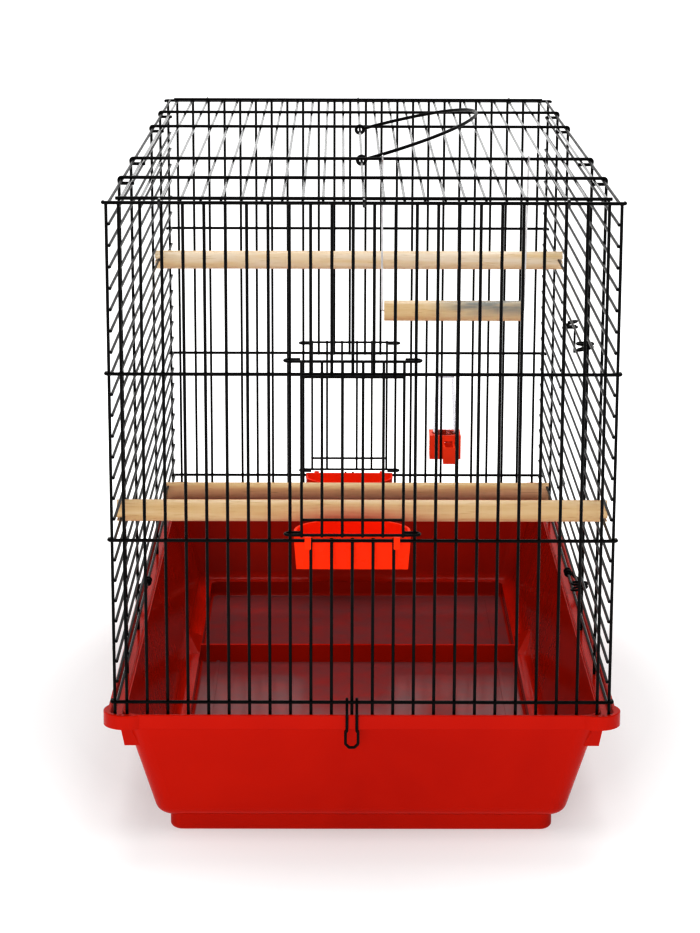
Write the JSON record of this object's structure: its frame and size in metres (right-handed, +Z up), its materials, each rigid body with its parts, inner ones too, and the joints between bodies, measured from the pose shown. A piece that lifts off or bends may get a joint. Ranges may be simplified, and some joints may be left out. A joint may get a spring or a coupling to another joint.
{
  "type": "bird cage",
  "caption": "Rectangular wire bird cage on a moulded tray, with sliding feeder doors, a hinged side door, perches, a swing, feeder cups, a drinker and a carrying handle.",
  "frame": {"origin": "middle of the tray's foot, on the floor", "axes": "+Z up, long side along Y, near end panel towards -Y, side door towards +X"},
  "size_m": [0.3074, 0.5913, 0.4079],
  "materials": {
    "black_wire": "gloss black lacquer",
    "plain_wire": "dull drawn wire",
    "tray_red": "gloss",
    "feeder_orange": "gloss",
    "drinker_red": "gloss",
    "clear_tube": "clear",
    "perch_wood": "bare turned wood"
  },
  "bodies": {
    "cage": {"tray": "tray_red", "near_uprights": "black_wire", "near_rails": "black_wire", "far_uprights": "black_wire", "far_rails": "black_wire", "left_rows": "black_wire", "left_posts": "black_wire", "right_rows": "black_wire", "right_posts": "black_wire", "roof_bars": "black_wire", "roof_hooked_bars": "black_wire", "roof_end_wires": "black_wire", "roof_cross_wires": "black_wire", "low_perch": "perch_wood", "rear_perch": "perch_wood", "top_perch": "perch_wood", "near_feeder": "feeder_orange", "far_feeder": "feeder_orange", "drinker_base": "drinker_red", "drinker_tube": "clear_tube"},
    "near_door": {"near_door_guides": "black_wire", "near_door_bars": "black_wire", "near_door_ties": "black_wire"},
    "far_door": {"far_door_guides": "black_wire", "far_door_bars": "black_wire", "far_door_ties": "black_wire"},
    "side_door": {"side_door_bars": "black_wire", "side_door_edges": "black_wire", "side_door_hinges": "black_wire", "side_door_latch": "black_wire"},
    "handle": {"handle": "black_wire"},
    "swing": {"swing_perch": "perch_wood", "swing_left_hanger": "plain_wire", "swing_right_hanger": "plain_wire"},
    "near_clip": {"near_clip": "black_wire"},
    "far_clip": {"far_clip": "black_wire"},
    "left_clip": {"left_clip": "black_wire"},
    "right_clip": {"right_clip": "black_wire"}
  },
  "joints": [
    {"name": "handle_swing", "type": "hinge", "parent": "cage", "child": "handle", "pos_m": [0, 0, 0.3858], "axis": [0, -1, 0], "range_deg": [0, 149]},
    {"name": "near_door_slide", "type": "slide", "parent": "cage", "child": "near_door", "axis": [0, 0, 1], "range_m": [0, 0.085]},
    {"name": "far_door_slide", "type": "slide", "parent": "cage", "child": "far_door", "axis": [0, 0, 1], "range_m": [0, 0.085]},
    {"name": "side_door_swing", "type": "hinge", "parent": "cage", "child": "side_door", "pos_m": [0.145, -0.09333, 0.1778], "axis": [0, 0, -1], "range_deg": [0, 115]},
    {"name": "swing_sway", "type": "hinge", "parent": "cage", "child": "swing", "pos_m": [0.06, -0.09073, 0.3874], "axis": [1, 0, 0], "range_deg": [-35, 35]},
    {"name": "near_clip_turn", "type": "hinge", "parent": "cage", "child": "near_clip", "pos_m": [-0.006, -0.2816, 0.0918], "axis": [-1, 0, 0], "range_deg": [0, 100]},
    {"name": "far_clip_turn", "type": "hinge", "parent": "cage", "child": "far_clip", "pos_m": [-0.006, 0.2816, 0.0918], "axis": [1, 0, 0], "range_deg": [0, 70]},
    {"name": "left_clip_turn", "type": "hinge", "parent": "cage", "child": "left_clip", "pos_m": [-0.1435, -0.024, 0.0918], "axis": [0, 1, 0], "range_deg": [0, 100]},
    {"name": "right_clip_turn", "type": "hinge", "parent": "cage", "child": "right_clip", "pos_m": [0.1435, 0, 0.0918], "axis": [0, -1, 0], "range_deg": [0, 100]}
  ]
}
